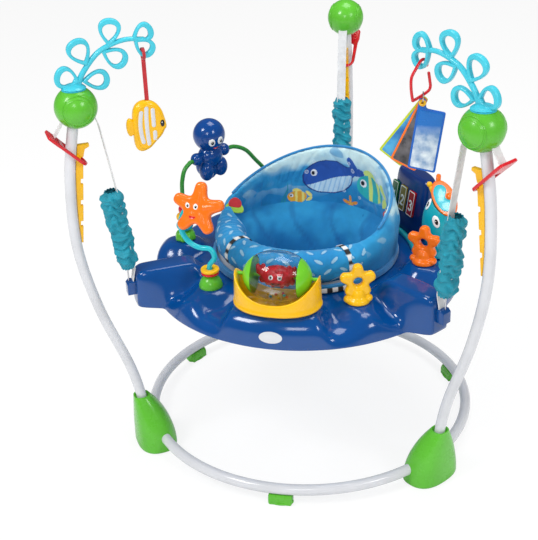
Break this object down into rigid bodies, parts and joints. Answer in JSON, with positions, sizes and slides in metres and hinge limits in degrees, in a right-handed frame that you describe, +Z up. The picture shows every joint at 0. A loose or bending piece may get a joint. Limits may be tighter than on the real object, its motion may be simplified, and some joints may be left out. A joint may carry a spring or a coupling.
{
  "type": "baby activity jumper",
  "caption": "Baby activity jumper: ring base with curved posts, a sprung toy tray with a turning padded seat, hanging toys and leaf-shaped arms.",
  "frame": {"origin": "middle of the footprint's bounding box, on the floor", "axes": "+Z up, -Y towards the front where the globe toy sits, +X towards the side with the console and hanging cards"},
  "size_m": [0.9012, 0.9024, 0.961],
  "materials": {
    "white": "smooth white sleeve over steel tube, satin gloss",
    "white_ring": "moulded white plastic, satin gloss",
    "green": "moulded green plastic, satin",
    "cyan": "moulded light blue plastic, satin",
    "red": "moulded red plastic, glossy",
    "yellow": "moulded yellow plastic, satin",
    "orange": "moulded orange plastic, satin",
    "tray_blue": "moulded deep blue plastic, glossy",
    "navy": "moulded deep blue plastic, glossy",
    "teal": "moulded teal plastic, satin",
    "clear": "clear moulded plastic, polished",
    "steel": "bright drawn spring wire",
    "webbing": "woven polyester webbing",
    "sleeve_cloth": "gathered woven cloth",
    "seat_cloth": "padded woven cloth with a printed pattern",
    "key_green": "moulded green plastic, glossy",
    "key_olive": "moulded olive plastic, glossy",
    "key_red": "moulded red plastic, glossy",
    "card_blue": "laminated card, moulded blue edge",
    "card_orange": "laminated card, moulded orange edge"
  },
  "bodies": {
    "frame": {"base_tube_front": "white", "base_tube_right": "white", "base_tube_left": "white", "ring_foot_front": "green", "ring_foot_right": "green", "ring_foot_left": "green", "base_hub_left": "green", "base_hub_right": "green", "base_hub_back": "green", "post_left": "white", "post_right": "white", "post_back": "white", "post_head_left": "green", "post_head_right": "green", "post_head_back": "green", "height_strap_left": "webbing", "height_strap_right": "webbing", "height_strap_back": "webbing", "height_rack_left": "yellow", "height_rack_right": "yellow", "height_rack_back": "yellow", "leaf_bar_left": "cyan", "leaf_bar_right": "cyan"},
    "slider_left": {"height_slider_left": "red"},
    "slider_right": {"height_slider_right": "red"},
    "slider_back": {"height_slider_back": "red"},
    "hangers": {"spring_left": "steel", "spring_right": "steel", "spring_back": "steel", "spring_sleeve_left": "sleeve_cloth", "spring_sleeve_right": "sleeve_cloth", "spring_sleeve_back": "sleeve_cloth"},
    "tray_body": {"tray": "tray_blue", "globe_cradle": "yellow", "spiral_base": "green", "spiral_wire": "cyan", "link_star_front": "yellow", "link_star_side": "orange", "arch_wire": "green", "arch_base": "green", "console_body": "navy", "console_turtle": "teal"},
    "seat": {"seat_ring": "white_ring", "seat_cover": "seat_cloth"},
    "globe": {"globe_shell": "clear", "globe_caps_axle": "green", "globe_crab": "red"},
    "star": {"star_spinner": "orange"},
    "rings": {"stacking_ring": "yellow"},
    "octopus_body": {"octopus": "navy"},
    "bead": {"arch_bead": "red"},
    "key_one": {"key_1": "key_green"},
    "key_two": {"key_2": "key_olive"},
    "key_three": {"key_3": "key_red"},
    "porthole_flap": {"porthole": "orange"},
    "fish": {"hanging_fish": "yellow"},
    "link": {"toy_link": "red"},
    "ring_of_cards": {"card_ring": "steel"},
    "front_card": {"card_front": "card_blue"},
    "back_card": {"card_back": "card_orange"}
  },
  "joints": [
    {"name": "height_lift", "type": "slide", "parent": "frame", "child": "hangers", "axis": [0, 0, 1], "range_m": [0, 0.135], "deforming": ["height_strap_left", "height_strap_right", "height_strap_back"]},
    {"name": "slider_left_slide", "type": "slide", "parent": "frame", "child": "slider_left", "axis": [-0.0897, -0.0583, -0.9943], "range_m": [0, 0.135]},
    {"name": "slider_right_slide", "type": "slide", "parent": "frame", "child": "slider_right", "axis": [0.0897, -0.0583, -0.9943], "range_m": [0, 0.135]},
    {"name": "slider_back_slide", "type": "slide", "parent": "frame", "child": "slider_back", "axis": [0, 0.107, -0.9943], "range_m": [0, 0.135]},
    {"name": "tray_bounce", "type": "slide", "parent": "hangers", "child": "tray_body", "axis": [0, 0, 1], "range_m": [-0.09, 0], "stiffness_N_per_m": 1350, "springref_m": 0.05, "deforming": ["spring_left", "spring_right", "spring_back", "spring_sleeve_left", "spring_sleeve_right", "spring_sleeve_back"]},
    {"name": "seat_swivel", "type": "hinge", "parent": "tray_body", "child": "seat", "pos_m": [0, -0.07367, 0.41], "axis": [0, 0, 1], "continuous": true},
    {"name": "globe_spin", "type": "hinge", "parent": "tray_body", "child": "globe", "pos_m": [0.0045, -0.33167, 0.4725], "axis": [1, 0, 0], "continuous": true},
    {"name": "star_spin", "type": "hinge", "parent": "tray_body", "child": "star", "pos_m": [-0.165, -0.28967, 0.5853], "axis": [0, -0.9397, 0.342], "continuous": true},
    {"name": "rings_slide", "type": "slide", "parent": "tray_body", "child": "rings", "axis": [0, 0, 1], "range_m": [0, 0.006]},
    {"name": "octopus_tumble", "type": "hinge", "parent": "tray_body", "child": "octopus_body", "pos_m": [-0.22325, -0.01932, 0.592], "axis": [0.4972, 0.8676, 0], "range_deg": [-8, 50]},
    {"name": "bead_slide", "type": "slide", "parent": "tray_body", "child": "bead", "axis": [0, 0, 1], "range_m": [0, 0.032]},
    {"name": "key_one_press", "type": "slide", "parent": "tray_body", "child": "key_one", "axis": [0.7773, 0.6073, -0.1644], "range_m": [0, 0.003], "stiffness_N_per_m": 300, "springref_m": -0.003},
    {"name": "key_two_press", "type": "slide", "parent": "tray_body", "child": "key_two", "axis": [0.7773, 0.6073, -0.1644], "range_m": [0, 0.003], "stiffness_N_per_m": 300, "springref_m": -0.003},
    {"name": "key_three_press", "type": "slide", "parent": "tray_body", "child": "key_three", "axis": [0.7773, 0.6073, -0.1644], "range_m": [0, 0.003], "stiffness_N_per_m": 300, "springref_m": -0.003},
    {"name": "porthole_flip", "type": "hinge", "parent": "tray_body", "child": "porthole_flap", "pos_m": [0.3118, -0.01809, 0.54009], "axis": [-0.5005, 0.641, 0.5819], "range_deg": [0, 60]},
    {"name": "fish_swing", "type": "hinge", "parent": "frame", "child": "fish", "pos_m": [-0.26963, -0.24877, 0.8855], "axis": [-0.8387, -0.5446, 0], "range_deg": [-30, 30]},
    {"name": "link_swing", "type": "hinge", "parent": "frame", "child": "link", "pos_m": [0.26879, -0.24823, 0.8842], "axis": [0.8387, -0.5446, 0], "range_deg": [-25, 25]},
    {"name": "card_ring_swing", "type": "hinge", "parent": "link", "child": "ring_of_cards", "pos_m": [0.27043, -0.24571, 0.8291], "axis": [0.5346, 0.8232, 0.1911], "range_deg": [-20, 20]},
    {"name": "card_front_swing", "type": "hinge", "parent": "ring_of_cards", "child": "front_card", "pos_m": [0.27043, -0.24571, 0.8149], "axis": [0.0523, 0.9986, 0], "range_deg": [-25, 25]},
    {"name": "card_back_swing", "type": "hinge", "parent": "ring_of_cards", "child": "back_card", "pos_m": [0.27043, -0.24571, 0.8149], "axis": [0.0523, 0.9986, 0], "range_deg": [-25, 25]}
  ],
  "couplings": [
    {"joint": "slider_left_slide", "follows": "height_lift", "ratio": 1},
    {"joint": "slider_right_slide", "follows": "height_lift", "ratio": 1},
    {"joint": "slider_back_slide", "follows": "height_lift", "ratio": 1}
  ]
}
